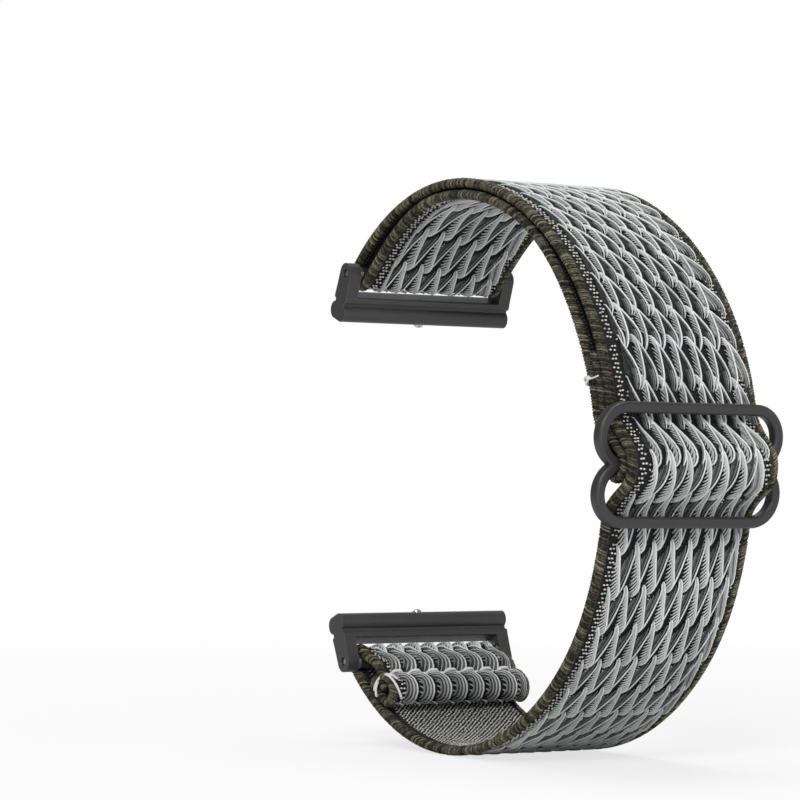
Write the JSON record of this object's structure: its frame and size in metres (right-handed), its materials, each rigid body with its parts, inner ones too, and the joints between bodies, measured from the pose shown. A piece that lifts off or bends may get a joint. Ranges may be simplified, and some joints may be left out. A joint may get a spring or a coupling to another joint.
{
  "type": "nylon watch strap",
  "caption": "Elastic woven loop for the wrist with a slide buckle, a sewn tail, a folded hem and slot adapters on sprung bars.",
  "frame": {"origin": "where the watch sits, midway between the two bars in the webbing's end loops", "axes": "+X across the band; -Y to the buckle and +Y to the watch's face; +Z from the lower adapter to the upper one"},
  "size_m": [0.026, 0.064, 0.0704],
  "materials": {
    "webbing": "woven light grey nylon with olive edges",
    "thread": "off-white sewing thread",
    "buckle_metal": "satin dark grey",
    "adapter_metal": "satin dark grey",
    "bright_steel": "plain steel"
  },
  "bodies": {
    "webbing": {"upper_webbing": "webbing", "lower_webbing": "webbing", "upper_feed": "webbing", "lower_feed": "webbing", "inner_feed": "webbing", "hem_stitches": "thread", "upper_bar_tube": "bright_steel", "lower_bar_tube": "bright_steel", "upper_bar_spring": "bright_steel", "lower_bar_spring": "bright_steel"},
    "buckle": {"slide_buckle": "buckle_metal", "buckle_hump": "webbing", "folded_tail": "webbing", "tail_stitches": "thread"},
    "upper_adapter": {"upper_adapter": "adapter_metal", "upper_latch_spring": "bright_steel"},
    "upper_latch": {"upper_latch": "bright_steel"},
    "upper_tip_near": {"upper_tip_near": "bright_steel"},
    "upper_tip_far": {"upper_tip_far": "bright_steel"},
    "lower_adapter": {"lower_adapter": "adapter_metal", "lower_latch_spring": "bright_steel"},
    "lower_latch": {"lower_latch": "bright_steel"},
    "lower_tip_near": {"lower_tip_near": "bright_steel"},
    "lower_tip_far": {"lower_tip_far": "bright_steel"}
  },
  "joints": [
    {"name": "buckle_slide", "type": "hinge", "parent": "webbing", "child": "buckle", "pos_m": [0, -0.021, 0], "axis": [1, 0, 0], "range_deg": [-24, 15], "deforming": ["upper_feed", "inner_feed", "lower_feed"]},
    {"name": "upper_adapter_swing", "type": "hinge", "parent": "webbing", "child": "upper_adapter", "pos_m": [0, 0, 0.02475], "axis": [1, 0, 0], "range_deg": [-30, 30]},
    {"name": "upper_latch_press", "type": "slide", "parent": "upper_adapter", "child": "upper_latch", "axis": [0, -0.3746, 0.9272], "range_m": [0, 0.0006], "stiffness_N_per_m": 300, "springref_m": -0.001, "deforming": ["upper_latch_spring"]},
    {"name": "upper_tip_near_press", "type": "slide", "parent": "webbing", "child": "upper_tip_near", "axis": [1, 0, 0], "range_m": [0, 0.0014], "stiffness_N_per_m": 400, "springref_m": -0.001, "deforming": ["upper_bar_spring"]},
    {"name": "upper_tip_far_press", "type": "slide", "parent": "webbing", "child": "upper_tip_far", "axis": [-1, 0, 0], "range_m": [0, 0.0014], "stiffness_N_per_m": 400, "springref_m": -0.001, "deforming": ["upper_bar_spring"]},
    {"name": "lower_adapter_swing", "type": "hinge", "parent": "webbing", "child": "lower_adapter", "pos_m": [0, 0, -0.02475], "axis": [1, 0, 0], "range_deg": [-30, 30]},
    {"name": "lower_latch_press", "type": "slide", "parent": "lower_adapter", "child": "lower_latch", "axis": [0, -0.3746, -0.9272], "range_m": [0, 0.0006], "stiffness_N_per_m": 300, "springref_m": -0.001, "deforming": ["lower_latch_spring"]},
    {"name": "lower_tip_near_press", "type": "slide", "parent": "webbing", "child": "lower_tip_near", "axis": [1, 0, 0], "range_m": [0, 0.0014], "stiffness_N_per_m": 400, "springref_m": -0.001, "deforming": ["lower_bar_spring"]},
    {"name": "lower_tip_far_press", "type": "slide", "parent": "webbing", "child": "lower_tip_far", "axis": [-1, 0, 0], "range_m": [0, 0.0014], "stiffness_N_per_m": 400, "springref_m": -0.001, "deforming": ["lower_bar_spring"]}
  ]
}
